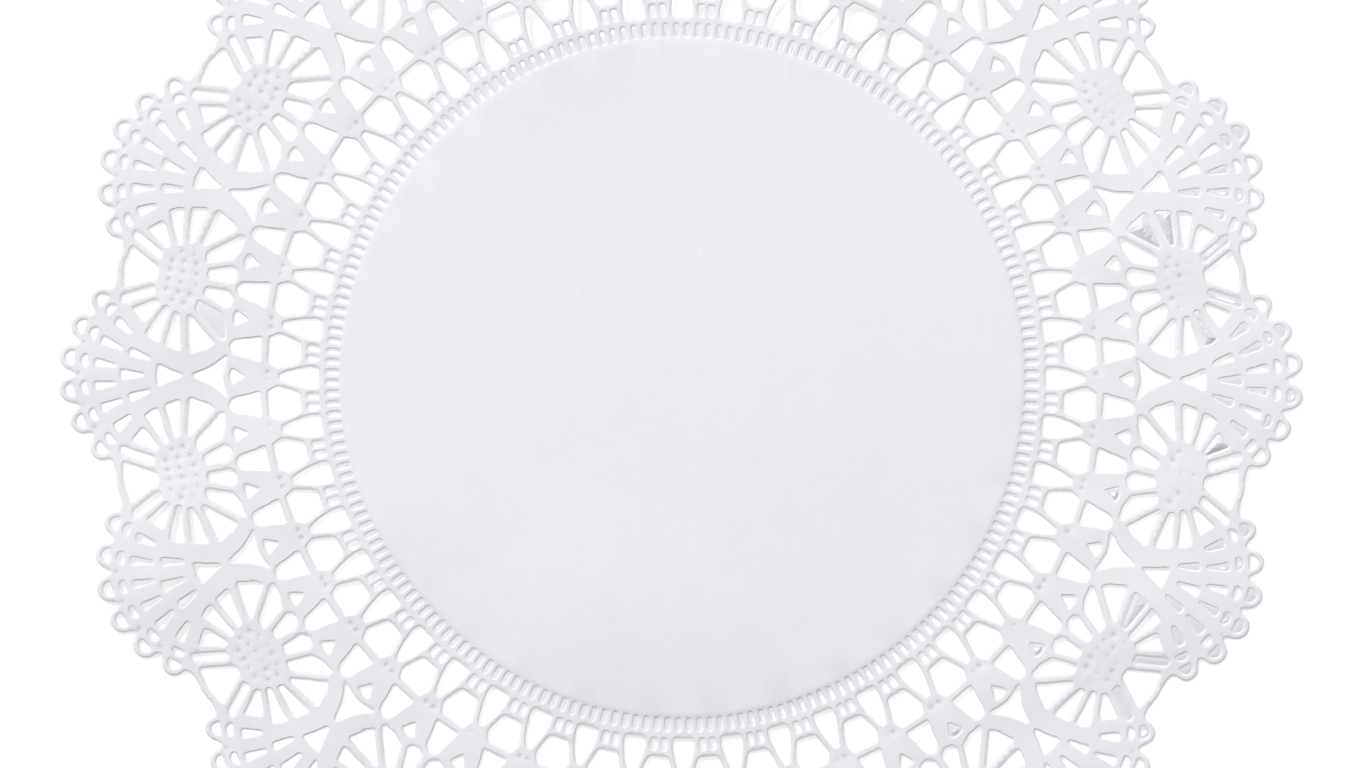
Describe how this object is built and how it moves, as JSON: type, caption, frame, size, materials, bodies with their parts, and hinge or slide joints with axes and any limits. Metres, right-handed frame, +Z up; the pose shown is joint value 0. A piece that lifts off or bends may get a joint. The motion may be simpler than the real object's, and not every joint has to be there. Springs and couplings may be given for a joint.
{
  "type": "paper doily",
  "caption": "Round white paper doily with a plain centre and a die-cut, embossed lace border that ends in a scalloped edge of small loops.",
  "frame": {"origin": "centre of the doily on its underside, which is the surface it lies on", "axes": "+Z up out of the embossed face, +X through the middle of one fan of the edge, +Y through another a quarter turn round"},
  "size_m": [0.3046, 0.3046, 0.001],
  "materials": {
    "lace_paper": "matt white embossed paper, uncoated, faintly cool"
  },
  "bodies": {
    "root": {"doily": "lace_paper"}
  },
  "joints": []
}
